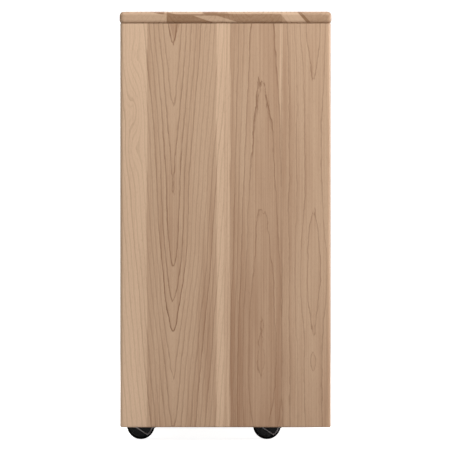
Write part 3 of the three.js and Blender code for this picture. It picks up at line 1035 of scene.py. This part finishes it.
@dataclass
class Worktop:
    """The bullnosed worktop, glued up from four staves."""

    corner_radius: float = 10.0
    top_radius: float = 9.0
    bottom_radius: float = 7.0
    rounding_steps: int = 10
    leaves: tuple[Leaf, ...] = (
        Leaf(-226.0, -185.0, 14.0, 8.5, 5.0, 0.1, 0.7, streaks=(
            Streak(-163.0, 8.0, 4.0, 16.0, -0.9, 1.3),
            Streak(-140.0, 10.0, 20.0, 20.0, -0.9, -0.8),
        )),
        Leaf(-119.5, -60.0, 14.0, 8.5, -6.0, 0.6, 1.0, streaks=(Streak(-60.0, 0.0, 80.0, 5.0, 0.0, -1.1),)),
        Leaf(2.4, 70.0, 14.0, 8.5, 4.0, 0.3, 1.2, streaks=(
            Streak(24.0, 1.0, 25.0, 7.0, -1.5, 0.7),
            Streak(20.0, 17.0, 26.0, 8.0, -3.0, -1.0),
            Streak(90.0, 0.0, 42.0, 6.0, 0.0, -1.3),
        )),
        Leaf(125.0, 200.0, 14.0, 8.5, -5.0, 0.8, 0.1, streaks=(Streak(140.0, 2.0, 16.0, 4.5, -4.0, 1.6),)),
    )

    def finish(self) -> Maple:
        """Dresses the four staves. Each comes from another board, so their end grain differs in tone."""
        top = cad_box("worktop")[1].z
        return Maple("maple_worktop", "maple_top", Grain.LEVEL_FLAT, self.leaves, top, -1.0, roughness=0.42)

    def build(self) -> None:
        """Makes the slab: its corners are rounded first, then its top and bottom rims."""
        low, high = cad_box("worktop")
        slab = Solid.box(low, high)
        slab.round_edges(Axis.Z, self.corner_radius, self.rounding_steps)
        slab.round_rims(Axis.Z, self.top_radius, self.rounding_steps, [high.z])
        slab.round_rims(Axis.Z, self.bottom_radius, self.rounding_steps, [low.z])
        slab.piece("worktop_slab", CART, self.finish(), ["worktop"])


@dataclass
class SidePanel:
    """A side panel: glued-up leaves with rounded edges, and two rows of shelf pin holes inside."""

    node: str
    side: int
    leaves: tuple[Leaf, ...]
    outside_radius: float = 8.0
    inside_radius: float = 3.2
    bottom_radius: float = 3.0
    groove_depth: float = 6.0
    hole_radius: float = 2.6
    hole_depth: float = 11.0
    countersink: float = 0.5
    hole_pitch: float = 32.0
    hole_count: int = 16
    first_hole: float = 254.0
    hole_columns: tuple[float, ...] = (-172.0, 160.0)

    def hole(self, y: float, z: float, inside: float) -> Solid:
        """Makes the cutter for one pin hole, with the slight countersink that the drill leaves."""
        radius, depth, sink = self.hole_radius, self.hole_depth, self.countersink
        flare = radius + sink
        profile = [(0, -2), (flare, -2), (flare, 0), (radius, sink), (radius, depth), (0, depth)]
        return Solid.turned(profile, Axis.X, (inside, y, z), 20)

    def grooves(self, inside: float) -> list[Solid]:
        """Makes the cutters for the grooves that hold the deck and the back panel."""
        deck_low, deck_high = cad_box("deck")
        back_low, back_high = cad_box("back_panel")
        floor = inside + self.groove_depth
        deck = Solid.box((inside - 2, deck_low.y, deck_low.z), (floor, deck_high.y, deck_high.z))
        back = Solid.box((inside - 2, back_low.y, back_low.z), (floor, back_high.y, back_high.z + 2))
        return [deck, back]

    def build(self) -> None:
        """Makes the panel on the right, and mirrors it if it belongs on the left."""
        low, high = cad_box("right_side_panel")
        inside, outside = low.x, high.x
        panel = Solid.box(low, high)
        panel.round_edges(Axis.Z, self.outside_radius, 8, above=(outside - 1, -math.inf, -math.inf))
        panel.round_edges(Axis.Z, self.inside_radius, 5, below=(inside + 1, math.inf, math.inf))
        panel.round_rims(Axis.Z, self.bottom_radius, 5, [low.z])
        drill = Solid()
        for y in self.hole_columns:
            for i in range(self.hole_count):
                drill.add(self.hole(y, self.first_hole + i * self.hole_pitch, inside))
        panel.cut(drill, *self.grooves(inside))
        if self.side < 0:
            panel.mirrored()
        face = self.side * outside
        finish = Maple(f"maple_{self.node}", "maple", Grain.UPRIGHT_SIDE, self.leaves, face, -self.side)
        panel.piece(f"{self.node}_board", CART, finish, [self.node])


LEFT_PANEL_LEAVES = (
    Leaf(
        start=-224.0,
        heart=-187.0,
        heart_depth=8.0,
        ring=16.0,
        taper=0.0,
        phase=0.2,
        tone=0.15,
        foot_tone=0.25,
        side_lines=0.6,
        swellings=(
            Swelling(-187, 930, 40, 140, -1.0),
            Swelling(-186, 365, 40, 105, -0.95),
            Swelling(-185, 169, 14, 22, -0.5),
        ),
    ),
    Leaf(
        start=-119.0,
        heart=-79.0,
        heart_depth=100.0,
        ring=4.5,
        taper=3.1,
        phase=0.535,
        tone=0.2,
        foot_tone=0.7,
        side_lines=0.5,
        swellings=(Swelling(-75, 270, 60, 200, -0.25), Swelling(-95, -10, 60, 110, 1.5)),
        pale=(PaleBand(-121, -115, 730),),
    ),
    Leaf(
        start=3.0,
        heart=111.6,
        heart_depth=8.0,
        ring=10.0,
        taper=-8.67,
        phase=0.22,
        tone=0.0,
        foot_tone=0.2,
        side_lines=0.55,
        swellings=(
            Swelling(112, 410, 60, 150, -1.05),
            Swelling(196, 815, 18, 34, -1.3),
            Swelling(192, 705, 13, 45, 1.7),
            Swelling(196, 620, 13, 40, -1.3),
        ),
        pale=(PaleBand(167, 240), PaleBand(-10, 19)),
        wedges=(DarkWedge(108, 845, 889, 11, 0.95),),
    ),
)


@dataclass
class Carcass:
    """The cart's fixed woodwork below the worktop."""

    seed: int = 40

    def level(self, node: str, count: int, offset: int, tone: float = 0.0) -> Maple:
        """Picks the wood for a flat board whose grain runs from side to side."""
        low, high = cad_box(node)
        leaves = mixed_leaves(low.y, high.y, count, self.seed + offset)
        return Maple(f"maple_{node}", "maple", Grain.LEVEL_FLAT, leaves, high.z, -1.0, tone)

    def rail(self, node: str, offset: int, tone: float = 0.0) -> Maple:
        """Picks the wood for an upright strip whose grain runs from side to side."""
        low, high = cad_box(node)
        leaves = mixed_leaves(low.z - 30, high.z + 30, 1, self.seed + offset)
        return Maple(f"maple_{node}", "maple", Grain.LEVEL_UPRIGHT, leaves, low.y, 1.0, tone)

    def build(self) -> None:
        """Makes the side panels, the deck, the rails, the back, the shelves and the lips."""
        SidePanel("left_side_panel", -1, LEFT_PANEL_LEAVES).build()
        SidePanel("right_side_panel", 1, mixed_leaves(-224, 224, 3, self.seed + 3)).build()
        Board("deck", self.level("deck", 3, 1)).build()
        for i, node in enumerate(("front_top_rail", "rear_top_rail")):
            Board(node, self.rail(node, 10 + i), corner_radius=3.0, rim_radius=0.8).build()
        low, high = cad_box("back_panel")
        veneer = mixed_leaves(low.x, high.x, 2, self.seed + 30)
        back = Maple("maple_plywood_back", "maple_plywood", Grain.UPRIGHT_BACK, veneer, low.y, 1.0)
        Board("back_panel", back, 0.5, 0.4, Axis.Z).build()
        Lip("deck_lip", self.rail("deck_lip", 20)).build()
        for number in (1, 2, 3):
            shelf = f"shelf_{number}"
            Board(shelf, self.level(shelf, 3, number + 4, number * 0.1)).build()
            Lip(f"{shelf}_lip", self.rail(f"{shelf}_lip", 20 + number)).build()


# ---------------------------------------------------------------- hardware


@dataclass
class ShelfPins:
    """The twelve steel pins that the adjustable shelves rest on."""

    radius: float = 2.5
    flange_radius: float = 4.2
    flange: float = 1.5
    insert: float = 10.0
    flange_ease: float = 0.3
    chamfer: float = 0.5
    seat_drop: float = 0.25

    def pin(self, node: str) -> Solid:
        """Turns one pin, with a soft nose, a flange and a tapered tail, and flattens its seat."""
        low, high = cad_box(node)
        near, far = sorted((abs(low.x), abs(high.x)))
        wall = far - self.insert
        r, c, ease, rim = self.radius, self.chamfer, self.flange_ease, self.flange_radius
        back = wall - ease
        front = back - self.flange
        profile = [(0, near), (r - 2 * c, near), (r - c * 0.3, near + c), (r, near + 2 * c)]
        profile += [(r, front - 0.6), (r + 0.5, front), (rim - ease, front), (rim, front + ease)]
        profile += [(rim, back), (r, back), (r, far - 2), (r - 0.7, far), (0, far)]
        y, z = (low.y + high.y) / 2, low.z + rim
        made = Solid.turned(profile, Axis.X, (0, y, z), 32)
        room = 6.0
        made.cut(Solid.box((near - 1, y - room, z + r - self.seat_drop), (wall, y + room, z + room + r)))
        return made if low.x > 0 else made.mirrored()

    def build(self) -> None:
        """Makes every pin."""
        for node in sorted(n for n in frame["nodes"] if "_pin_" in n):
            self.pin(node).piece(f"{node}_turned", CART, ZINC, [node])


@dataclass
class PanScrew:
    """A pan-head screw with a cross recess, head down."""

    head_radius: float = 4.2
    head_height: float = 2.6
    shank_radius: float = 2.0
    thread_pitch: float = 1.8
    thread_depth: float = 0.45
    plain_length: float = 5.0
    point_length: float = 2.5
    recess: float = 1.5
    slot_half: float = 0.5

    def shape(self, length: float) -> Solid:
        """Makes the screw with its head's underside at height 0 and its point above.

        Args:
            length: From under the head to the point.

        Returns:
            The screw, on the Z axis.
        """
        edge, height = self.head_radius, self.head_height
        shank, pitch = self.shank_radius, self.thread_pitch
        root = shank - self.thread_depth
        dome = [(edge * math.sin(t), -height * math.cos(t)) for t in (0.35, 0.7, 1.05, 1.3)]
        profile = [(0, -height), *dome, (edge, -0.4), (edge, 0), (shank, 0)]
        for i in range(int((length - self.plain_length) / pitch)):
            base = 1 + i * pitch
            profile += [(root, base), (shank, base + pitch * 0.45), (root, base + pitch * 0.9)]
        profile += [(shank * 0.6, length - self.point_length), (0, length)]
        made = Solid.turned(profile, Axis.Z, (0, 0, 0), 24)
        floor, wide, narrow = self.recess - height, edge * 0.52, self.slot_half
        arms = ((wide, narrow), (narrow, wide))
        return made.cut(*(Solid.box((-w, -h, -height - 1), (w, h, floor)) for w, h in arms))


@dataclass
class WorktopScrews:
    """The four screws that hold the worktop, up through the rails."""

    screw: PanScrew = field(default_factory=PanScrew)

    def build(self) -> None:
        """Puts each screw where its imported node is."""
        for node in sorted(n for n in frame["nodes"] if n.startswith("worktop_screw")):
            low, high = cad_box(node)
            head = low.z + self.screw.head_height + 0.4
            made = self.screw.shape(high.z - head)
            made.moved(((low.x + high.x) / 2, (low.y + high.y) / 2, head))
            made.piece(f"{node}_turned", CART, ZINC, [node])


@dataclass
class Caster:
    """A twin-wheel swivel caster with a moulded hood. Its wheels trail towards the rear at rest."""

    corner: str
    plate_round: float = 6.0
    plate_thickness: float = 2.5
    plate_bore: float = 4.3
    hole_radius: float = 2.3
    hole_spacing: float = 35.0
    screw_length: float = 14.0
    pin_radius: float = 4.0
    pin_neck: float = 3.5
    pin_flange: float = 2.2
    pin_room: float = 0.3
    hood_radius: float = 34.0
    hood_half: float = 28.0
    web_half: float = 7.4
    well_outer: float = 26.0
    well_radius: float = 31.6
    column_radius: float = 12.0
    column_headroom: float = 1.3
    column_floor: float = 4.0
    cheek_radius: float = 26.5
    cheek_angles: tuple[float, float] = (195.0, 238.0)
    tail_angle: float = 14.5
    shoulder: float = 1.6
    bead_radius: float = 1.2
    bead_inset: float = 2.2
    ring_radii: tuple[float, float] = (5.2, 6.6)
    ring_depth: float = 0.6
    axle_radius: float = 3.0
    axle_end: float = 26.8
    wheel_bore: float = 3.4
    wheel_inner: float = 8.0
    wheel_outer: float = 25.4
    wheel_shoulder: float = 1.4
    groove_from_face: float = 5.1
    hub_radius: float = 9.0
    rim_radius: float = 24.6
    spokes: int = 9
    ear_inner: float = 12.8
    ear_outer: float = 15.8
    ear_radius: float = 4.6
    ear_foot: tuple[tuple[float, float], ...] = ((7.0, 8.0), (5.0, 11.0))
    lever_half: float = 12.2
    lever_hub: float = 4.0
    lever_pin: float = 1.6
    lever_pin_room: float = 0.35
    pedal_reach: float = 16.6
    pedal_half: float = 1.5
    pedal_tilt: float = 10.0
    ridges: int = 5
    first_ridge: float = 6.5
    ridge_pitch: float = 2.1
    ridge_radius: float = 0.45
    cam_reach: float = 6.2
    cam_half: float = 2.5
    cam_room: float = 7.4
    lock_turn: float = 25.0

    @property
    def body(self) -> str:
        """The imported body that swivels."""
        return f"{self.corner}_caster"

    @property
    def pivot(self) -> Vector:
        """A point on the swivel axis."""
        return joint_place(f"{self.corner}_swivel")

    @property
    def axle(self) -> Vector:
        """The middle of the axle."""
        return Vector((self.pivot.x, *joint_place(f"{self.corner}_left_roll").yz))

    @property
    def lever_pivot(self) -> Vector:
        """The middle of the brake lever's pin."""
        return Vector((self.pivot.x, *joint_place(f"{self.corner}_brake_press").yz))

    def drum(self, radius: float, start: float, stop: float, centre: Vector) -> Solid:
        """Makes a drum across the caster, from start to stop beside its centre."""
        profile = [(0, start), (radius, start), (radius, stop), (0, stop)]
        return Solid.turned(profile, Axis.X, centre, 96 if radius > 15 else 32)

    def across(self, outline: Outline, half: float) -> Solid:
        """Pushes an outline across the caster, by half each way from its middle."""
        return Solid.prism(outline, Axis.X, self.pivot.x - half, self.pivot.x + half)

    def plate(self) -> None:
        """Makes the mounting plate, pressed from sheet steel, and its four screws."""
        node = f"{self.corner}_caster_plate"
        low, high = cad_box(node)
        plate = Solid.box(low, high)
        plate.round_edges(Axis.Z, self.plate_round, 8)
        plate.round_rims(Axis.Z, 0.5, 2)
        middle = (low + high) / 2
        half = self.hole_spacing / 2
        spots = [(middle.x + sx * half, middle.y + sy * half) for sx in (-1, 1) for sy in (-1, 1)]
        bores = [(x, y, self.hole_radius) for x, y in spots]
        bores.insert(0, (self.pivot.x, self.pivot.y, self.plate_bore))
        drill = Solid()
        for x, y, radius in bores:
            profile = [(0, low.z - 2), (radius, low.z - 2), (radius, high.z + 2), (0, high.z + 2)]
            drill.add(Solid.turned(profile, Axis.Z, (x, y, 0), 32))
        plate.cut(drill).piece(f"{node}_pressed", CART, ZINC, [node])
        for i, (x, y) in enumerate(spots):
            screw = PanScrew().shape(self.screw_length).moved((x, y, low.z - 0.1))
            screw.piece(f"{self.corner}_plate_screw_{i + 1}", CART, ZINC)

    def kingpin(self) -> None:
        """Turns the pin that the hood swivels round, with its flange and the riveted end over the plate."""
        node = f"{self.corner}_kingpin"
        low, high = cad_box(node)
        r, neck, flange = self.pin_radius, self.pin_neck, (high.x - low.x) / 2
        top = cad_box(f"{self.corner}_caster_plate")[0].z - self.pin_room
        foot = top - self.pin_flange
        profile = [(0, low.z), (r - 0.8, low.z), (r, low.z + 0.8), (r, low.z + 3), (neck, low.z + 3.4)]
        profile += [(neck, low.z + 4.6), (r, low.z + 5), (r, foot), (flange - 0.4, foot)]
        profile += [(flange, foot + 0.4), (flange, top - 0.3), (flange - 0.3, top), (r, top)]
        profile += [(r, high.z - 0.2), (r - 0.2, high.z), (0, high.z)]
        pin = Solid.turned(profile, Axis.Z, (self.pivot.x, self.pivot.y, 0), 40)
        pin.piece(f"{node}_turned", CART, ZINC, [node])

    def hood_side(self) -> Outline:
        """Draws the hood's outline round the axle: a cap over the wheels that comes down in front."""
        centre = (self.axle.y, self.axle.z)
        outline = arc(centre, self.hood_radius, self.tail_angle, 180, 40)
        outline += arc(centre, self.hood_radius - 2, 186, 189, 1)
        return outline + arc(centre, self.cheek_radius, *self.cheek_angles, 12)

    def column_ends(self) -> tuple[float, float]:
        """Says how low and how high the column round the kingpin goes."""
        low, high = cad_box(f"{self.corner}_kingpin")
        top = high.z - self.pin_flange - self.plate_thickness - self.column_headroom
        return low.z - self.column_floor, top

    def hood(self, has_brake: bool) -> None:
        """Makes the hood: a shell over both wheels, a web between them, and a column round the kingpin.

        Args:
            has_brake: Whether it carries the ears for a brake lever.
        """
        node = f"{self.corner}_hood"
        x, y = self.pivot.x, self.pivot.y
        half, r = self.hood_half, self.column_radius
        shell = self.across(self.hood_side(), half).round_rims(Axis.X, self.shoulder, 5)
        bottom, top = self.column_ends()
        profile = [(0, bottom), (r - 1, bottom), (r, bottom + 1), (r, top - 1.2), (r - 1.2, top), (0, top)]
        column = Solid.turned(profile, Axis.Z, (x, y, 0), 64)
        ears = [self.ear(1), self.ear(-1)] if has_brake else []
        shell.join(column, *ears)
        bore = [(0, bottom + 2), (self.plate_bore, bottom + 2), (self.plate_bore, top + 1), (0, top + 1)]
        cuts = [self.drum(self.well_radius, self.web_half, self.well_outer, self.axle)]
        cuts += [self.drum(self.well_radius, -self.well_outer, -self.web_half, self.axle)]
        cuts += [Solid.turned(bore, Axis.Z, (x, y, 0), 32)]
        cuts += [self.drum(self.axle_radius + 0.3, -self.axle_end - 0.2, self.axle_end + 0.2, self.axle)]
        cuts += [self.cheek_ring(sign) for sign in (-1, 1)]
        if has_brake:
            cuts += [self.drum(self.cam_room, -self.ear_inner, self.ear_inner, self.lever_pivot)]
            reach = self.ear_outer + 1
            cuts += [self.drum(self.lever_pin + self.lever_pin_room, -reach, reach, self.lever_pivot)]
        shell.cut(*cuts)
        rim = inset(self.hood_side(), self.bead_inset)
        for sign in (-1, 1):
            shell.add(Solid.bead(rim, x + sign * half, self.bead_radius))

        def on_bead(spot: Vector) -> bool:
            """Says whether a face stands out past the cheeks."""
            return abs(spot.x - x) > half + 0.15

        # The bead's faces take the pale grey painted highlight.
        shell.piece(f"{node}_shell", self.body, GLOSS_NYLON, [node], (PAINTED_HIGHLIGHT_NYLON, on_bead))

    def cheek_ring(self, sign: int) -> Solid:
        """Makes the cutter for the shallow ring moulded round the axle's end in a cheek."""
        near, far = self.hood_half - self.ring_depth, self.hood_half + 1
        small, large = self.ring_radii
        profile = [(small, near), (large, near), (large + 0.4, far), (small - 0.4, far)]
        return Solid.turned([(radius, sign * along) for radius, along in profile], Axis.X, self.axle)

    def ear(self, sign: int) -> Solid:
        """Makes an ear on the cap for one end of the brake lever's pin."""
        y, z = self.lever_pivot.yz
        (front, front_drop), (rear, rear_drop) = self.ear_foot
        foot = [(y - front, z - front_drop), (y + rear, z - rear_drop)]
        outline = foot + arc((y, z), self.ear_radius, 0, 180, 16)
        near, far = sorted((sign * self.ear_inner, sign * self.ear_outer))
        ear = Solid.prism(outline, Axis.X, self.pivot.x + near, self.pivot.x + far)
        return ear.round_rims(Axis.X, 0.5, 2)

    def axle_rod(self) -> None:
        """Turns the steel axle, with its ends chamfered. The cheeks' outer skins hide it."""
        node = f"{self.corner}_axle"
        half, r, c = self.axle_end, self.axle_radius, 0.8
        profile = [(0, -half), (r - c, -half), (r, c - half), (r, half - c), (r - c, half), (0, half)]
        Solid.turned(profile, Axis.X, self.axle, 40).piece(f"{node}_turned", self.body, ZINC, [node])

    def groove(self, along: float) -> Outline:
        """Draws a fine groove round the tread."""
        tread, floor = self.axle.z, self.axle.z - 0.5
        return [(tread, along - 0.7), (floor, along - 0.3), (floor, along + 0.3), (tread, along + 0.7)]

    def wheel(self, name: str, side: int) -> None:
        """Turns one wheel: a soft tread on a ribbed nylon disc.

        Args:
            name: left or right.
            side: -1 or 1, the way that its outer face looks.
        """
        node = f"{self.corner}_wheel_{name}"
        tread, inner, outer = self.axle.z, self.wheel_inner, self.wheel_outer
        bore, rim, hub, round_off = self.wheel_bore, self.rim_radius, self.hub_radius, self.wheel_shoulder
        profile = [(bore, inner), (hub - 1, inner), (hub, inner + 1), (hub, inner + 6)]
        profile += [(rim - 2, inner + 6), (rim, inner + 0.6), (tread - 2, inner)]
        profile += arc((tread - round_off, inner + round_off), round_off, -90, 0, 5)
        profile += self.groove(inner + self.groove_from_face) + self.groove(outer - self.groove_from_face)
        profile += arc((tread - round_off, outer - round_off), round_off, 0, 90, 5)
        profile += [(tread - 2, outer), (rim, outer - 0.4), (rim - 0.4, outer - 1.8)]
        profile += [(hub + 1.5, outer - 2.6), (hub, outer - 1.2), (hub - 1.2, outer - 0.3)]
        profile += [(4.2, outer - 0.3), (bore, outer - 1)]
        disc = Solid.turned([(radius, side * along) for radius, along in profile], Axis.X, (0, 0, 0), 96)
        for i in range(self.spokes):
            near, far = sorted((side * (outer - 3.4), side * (outer - 1.5)))
            rib = Solid.box((near, hub, -0.7), (far, rim - 0.2, 0.7)).round_rims(Axis.X, 0.3, 2)
            disc.add(rib.tilted(360 * i / self.spokes, Axis.X, (0, 0, 0)))
        centre = self.axle
        disc.moved(centre)

        def on_tread(spot: Vector) -> bool:
            """Says whether a face is outside the nylon rim."""
            return (spot - centre).yz.length > rim + 0.2

        disc.piece(f"{node}_turned", node, WHEEL_NYLON, [node], (TREAD, on_tread))

    def lever(self) -> None:
        """Makes the brake lever: a hub with a cam, a pin through the ears, and a pedal with grip ridges."""
        node = f"{self.corner}_brake_lever"
        centre = self.lever_pivot
        y, z = centre.yz
        half, flat, tip = self.lever_half, self.pedal_half, y + self.pedal_reach
        hub = self.across(arc((y, z), self.lever_hub, 22, 338, 36), half)
        pedal_side = [(y, z - flat), (tip, z - flat), *arc((tip, z), flat, -90, 90, 8), (y, z + flat)]
        pedal = self.across(pedal_side, half).tilted(self.pedal_tilt, Axis.X, centre)
        end, deep = y + self.cam_reach, self.cam_half
        cam = self.across([(y, z - deep), (end, z - deep), (end, z + deep), (y, z + deep)], half)
        cam.round_edges(Axis.X, 1.0, 4, above=(-math.inf, y + 3, -math.inf))
        reach = centre - self.axle
        cam.tilted(math.degrees(math.atan2(-reach.z, -reach.y)) + self.lock_turn, Axis.X, centre)
        pin_half = self.ear_outer - 0.3
        made = hub.join(pedal, cam, self.drum(self.lever_pin, -pin_half, pin_half, centre))
        for i in range(self.ridges):
            along = y + self.first_ridge + self.ridge_pitch * i
            ridge = [(along - 0.5, z + 1.3), (along + 0.5, z + 1.3)]
            ridge += arc((along, z + flat), self.ridge_radius, 0, 180, 6)
            made.add(self.across(ridge, half - 1.5).tilted(self.pedal_tilt, Axis.X, centre))
        made.piece(f"{node}_moulded", f"{self.corner}_brake", GLOSS_NYLON, [node])

    def build(self) -> None:
        """Makes every part of the caster."""
        has_brake = self.corner.startswith("front")
        self.plate()
        self.kingpin()
        self.hood(has_brake)
        self.axle_rod()
        self.wheel("left", -1)
        self.wheel("right", 1)
        if has_brake:
            self.lever()


# ---------------------------------------------------------------- studio


@dataclass
class SoftBox:
    """A large soft light."""

    name: str
    place: Point
    aim: Point
    size: float
    power: float

    def build(self) -> None:
        """Hangs the light and points it."""
        light = bpy.data.lights.new(self.name, "AREA")
        light.shape, light.size, light.energy = "SQUARE", self.size, self.power
        lamp = bpy.data.objects.new(self.name, light)
        lamp.location = self.place
        lamp.rotation_euler = (Vector(self.aim) - Vector(self.place)).to_track_quat("-Z", "Y").to_euler()
        lamp.visible_camera = False
        bpy.context.scene.collection.objects.link(lamp)


@dataclass
class Studio:
    """A white studio: a pale floor, a white surround, soft lights and the camera. Places are in metres."""

    camera_distance: float = 6.45
    view_height: float = 0.9565
    eye: tuple[float, float] = (0.0011, 0.4602)
    floor_size: float = 60.0
    horizon_light: float = 0.1
    zenith_light: float = 0.62
    lights: tuple[SoftBox, ...] = (
        SoftBox("key_light", (-2.1, -1.2, 2.7), (-0.3, 0.0, 1.0), 1.1, 76.0),
        SoftBox("top_light", (0.3, 0.6, 3.0), (0.0, 0.0, 0.9), 1.6, 17.0),
        SoftBox("right_light", (3.0, 0.9, 1.6), (0.0, 0.0, 0.45), 1.6, 58.0),
        SoftBox("front_light", (0.4, -3.3, 1.1), (0.0, 0.0, 0.5), 1.4, 66.0),
        SoftBox("low_light", (-4.0, -0.45, 0.5), (-0.24, 0.03, 0.02), 0.3, 3.0),
    )

    def add_camera(self) -> None:
        """Stands the camera square to the left side, level with its middle, behind a long lens."""
        camera = bpy.data.cameras.new("camera")
        camera.sensor_width = 36.0
        camera.lens = camera.sensor_width * self.camera_distance / self.view_height
        camera.clip_end = 200.0
        stand = bpy.data.objects.new("camera", camera)
        panel_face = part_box("left_side_panel")[0].x
        stand.location = (panel_face - self.camera_distance, *self.eye)
        stand.rotation_euler = (math.pi / 2, 0, -math.pi / 2)
        bpy.context.scene.collection.objects.link(stand)
        bpy.context.scene.camera = stand

    def add_floor(self) -> None:
        """Lays the floor. It glows a little to the eye, so that it stays as white as the surround."""
        floor = Solid.box((-1, -1, -0.02), (1, 1, 0)).stand_in("studio_floor")
        floor.data.transform(Matrix.Diagonal((self.floor_size / 2, self.floor_size / 2, 1, 1)))
        material = bpy.data.materials.new("white_painted_floor")
        material.use_nodes = True
        tree = material.node_tree
        shader = tree.nodes["Principled BSDF"]
        shader.inputs["Base Color"].default_value = linear("#c4c4c4")
        shader.inputs["Roughness"].default_value = 0.7
        shader.inputs["Emission Color"].default_value = (1.0, 1.0, 1.0, 1.0)
        seen = add_node(tree, "LightPath", output="Is Camera Ray")
        (seen * 0.94).feed(shader, "Emission Strength")
        floor.data.materials.append(material)

    def add_surround(self) -> None:
        """Surrounds the cart with white, dim near the floor so that glossy parts stay dark there."""
        world = bpy.data.worlds.new("studio")
        bpy.context.scene.world = world
        world.use_nodes = True
        background = world.node_tree.nodes["Background"]
        background.inputs["Color"].default_value = (1.0, 1.0, 1.0, 1.0)
        tree = world.node_tree
        seen = add_node(tree, "LightPath", output="Is Camera Ray")
        way = add_node(tree, "SeparateXYZ", inputs={0: add_node(tree, "TexCoord", output="Generated")})
        given = way.other("Z").then(Step.EASE, 0.0, 0.8, self.horizon_light, self.zenith_light)
        (seen * 1.1 + given).feed(background, "Strength")

    def build(self) -> None:
        """Sets up the whole studio."""
        bpy.context.scene.view_settings.view_transform = "Standard"
        self.add_camera()
        self.add_floor()
        self.add_surround()
        for light in self.lights:
            light.build()


def main() -> None:
    """Builds the studio, then the cart from the worktop down."""
    logging.basicConfig(level=logging.INFO, format="%(name)s: %(message)s")
    Studio().build()
    Worktop().build()
    Carcass().build()
    ShelfPins().build()
    WorktopScrews().build()
    for corner in ("front_left", "front_right", "rear_left", "rear_right"):
        Caster(corner).build()


if __name__ == "__main__":
    main()
